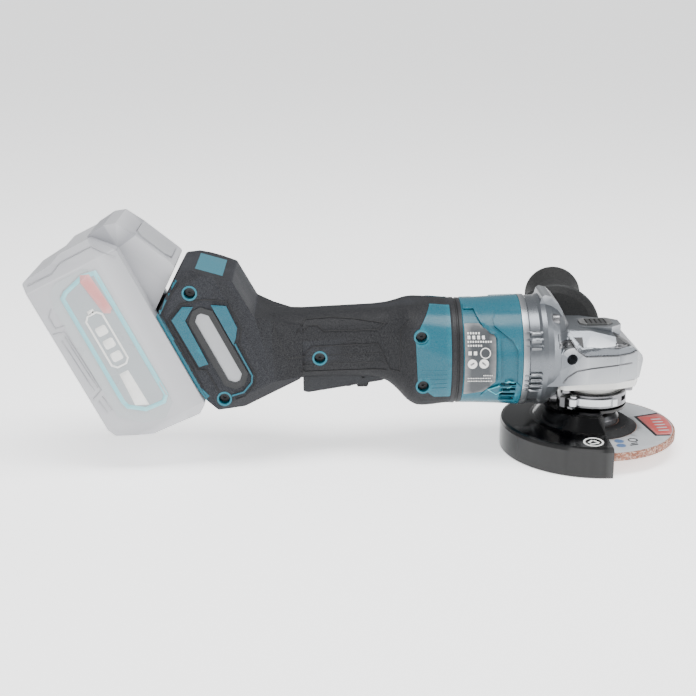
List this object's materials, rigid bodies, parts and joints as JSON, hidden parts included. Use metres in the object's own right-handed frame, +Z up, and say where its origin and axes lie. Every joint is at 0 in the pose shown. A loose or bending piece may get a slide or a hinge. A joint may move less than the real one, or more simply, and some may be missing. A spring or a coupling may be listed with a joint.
{
  "type": "angle grinder",
  "caption": "Cordless angle grinder with a paddle switch, side handle, wheel guard and slide-on battery.",
  "frame": {"origin": "on the spindle axis, in the plane where the hub of the wheel seats on the inner flange", "axes": "+X forward over the gear head along the motor axis, +Y to the side handle, +Z up along the spindle"},
  "size_m": [0.4727, 0.231, 0.1805],
  "materials": {
    "cast_aluminium": "fine-blasted cast, satin",
    "bright_steel": "turned and ground",
    "dark_steel": "black oxide",
    "guard_black": "gloss black paint",
    "teal_plastic": "glass-filled nylon, fine spark texture",
    "charcoal_plastic": "glass-filled nylon, fine spark texture",
    "charcoal_grip": "over-moulded soft grip, fine texture",
    "black_plastic": "moulded",
    "black_rubber": "moulded",
    "grey_plate": "printed plate",
    "mesh_grey": "fine dust mesh",
    "abrasive": "bonded abrasive, coarse",
    "wheel_paper": "printed paper label",
    "battery_grey": "pale moulded plastic, satin",
    "battery_label_film": "printed film",
    "battery_button_grey": "moulded",
    "copper_wire": "enamelled copper",
    "silicon_steel": "stacked sheets",
    "magnet": "nickel plated",
    "brass_contact": "plated",
    "board_green": "circuit board",
    "cell_wrap": "shrink wrapped",
    "lead_black": "insulated wire"
  },
  "bodies": {
    "body": {"air_baffle": "black_plastic", "base_trim": "teal_plastic", "bearing_box": "cast_aluminium", "bearing_box_screws": "dark_steel", "controller_board": "board_green", "controller_case": "cast_aluminium", "filter_frames": "black_plastic", "filter_meshes": "mesh_grey", "gear_housing": "cast_aluminium", "handle_screws": "dark_steel", "head_screws": "dark_steel", "head_side_panels": "black_plastic", "housing_ring": "charcoal_plastic", "left_handle_shell": "charcoal_grip", "motor_housing": "teal_plastic", "motor_leads": "lead_black", "name_plates": "grey_plate", "paddle_pin": "bright_steel", "rear_panels": "teal_plastic", "right_handle_shell": "charcoal_grip", "rotor_bearings": "bright_steel", "screw_rings": "teal_plastic", "side_handle_bolt": "bright_steel", "side_handle_flange": "black_plastic", "side_handle_grip": "black_rubber", "spindle_bearings": "bright_steel", "spindle_lock_spring": "bright_steel", "stator_core": "silicon_steel", "stator_windings": "copper_wire", "switch_body": "black_plastic", "terminal_block": "black_plastic", "terminals": "brass_contact", "top_insert": "teal_plastic"},
    "spindle_group": {"spindle": "bright_steel", "bevel_gear": "bright_steel", "inner_flange": "bright_steel", "grinding_wheel": "abrasive", "wheel_label": "wheel_paper", "lock_nut": "dark_steel"},
    "rotor": {"rotor_shaft": "bright_steel", "pinion": "bright_steel", "rotor_core": "silicon_steel", "rotor_magnets": "magnet", "fan": "black_plastic"},
    "guard": {"guard_shell": "guard_black", "clamp_band": "guard_black", "clamp_pin": "bright_steel"},
    "lever": {"clamp_lever": "bright_steel"},
    "lock_button": {"spindle_lock_button": "black_plastic", "spindle_lock_pin": "bright_steel"},
    "paddle_switch": {"paddle": "charcoal_plastic"},
    "lock_off": {"lock_off_lever": "charcoal_plastic"},
    "plunger": {"switch_plunger": "black_plastic"},
    "battery": {"battery_cover": "battery_grey", "battery_case": "battery_grey", "battery_cells": "cell_wrap", "cell_holder": "black_plastic", "battery_labels": "battery_label_film", "battery_button_spring": "bright_steel"},
    "release_button": {"battery_button": "battery_button_grey"}
  },
  "joints": [
    {"name": "spindle_spin", "type": "hinge", "parent": "body", "child": "spindle_group", "pos_m": [0, 0, 0], "axis": [0, 0, 1], "continuous": true},
    {"name": "rotor_spin", "type": "hinge", "parent": "body", "child": "rotor", "pos_m": [0, 0, 0.056], "axis": [1, 0, 0], "continuous": true},
    {"name": "guard_turn", "type": "hinge", "parent": "body", "child": "guard", "pos_m": [0, 0, 0], "axis": [0, 0, 1], "range_deg": [-90, 90]},
    {"name": "clamp_lever_swing", "type": "hinge", "parent": "guard", "child": "lever", "pos_m": [-0.01847, -0.02364, 0.0215], "axis": [0, 0, -1], "range_deg": [0, 70]},
    {"name": "lock_press", "type": "slide", "parent": "body", "child": "lock_button", "axis": [0, 0, -1], "range_m": [0, 0.004], "stiffness_N_per_m": 400, "springref_m": -0.002, "deforming": ["spindle_lock_spring"]},
    {"name": "paddle_squeeze", "type": "hinge", "parent": "body", "child": "paddle_switch", "pos_m": [-0.156, 0, 0.0435], "axis": [0, 1, 0], "range_deg": [0, 5.5], "stiffness_Nm_per_rad": 2, "springref_deg": -2.86},
    {"name": "lock_off_push", "type": "hinge", "parent": "paddle_switch", "child": "lock_off", "pos_m": [-0.172, 0, 0.0405], "axis": [0, -1, 0], "range_deg": [0, 18], "stiffness_Nm_per_rad": 0.02, "springref_deg": -5.73},
    {"name": "plunger_slide", "type": "slide", "parent": "body", "child": "plunger", "axis": [0, 0, 1], "range_m": [0, 0.003]},
    {"name": "battery_slide", "type": "slide", "parent": "body", "child": "battery", "axis": [-0.4462, 0, 0.8949], "range_m": [0, 0.13]},
    {"name": "release_press", "type": "slide", "parent": "battery", "child": "release_button", "axis": [-0.633, 0, -0.7741], "range_m": [0, 0.003], "stiffness_N_per_m": 500, "springref_m": -0.002, "deforming": ["battery_button_spring"]}
  ],
  "couplings": [
    {"joint": "rotor_spin", "follows": "spindle_spin", "ratio": -3.3636},
    {"joint": "plunger_slide", "follows": "paddle_squeeze", "m_per_rad": 0.03}
  ]
}
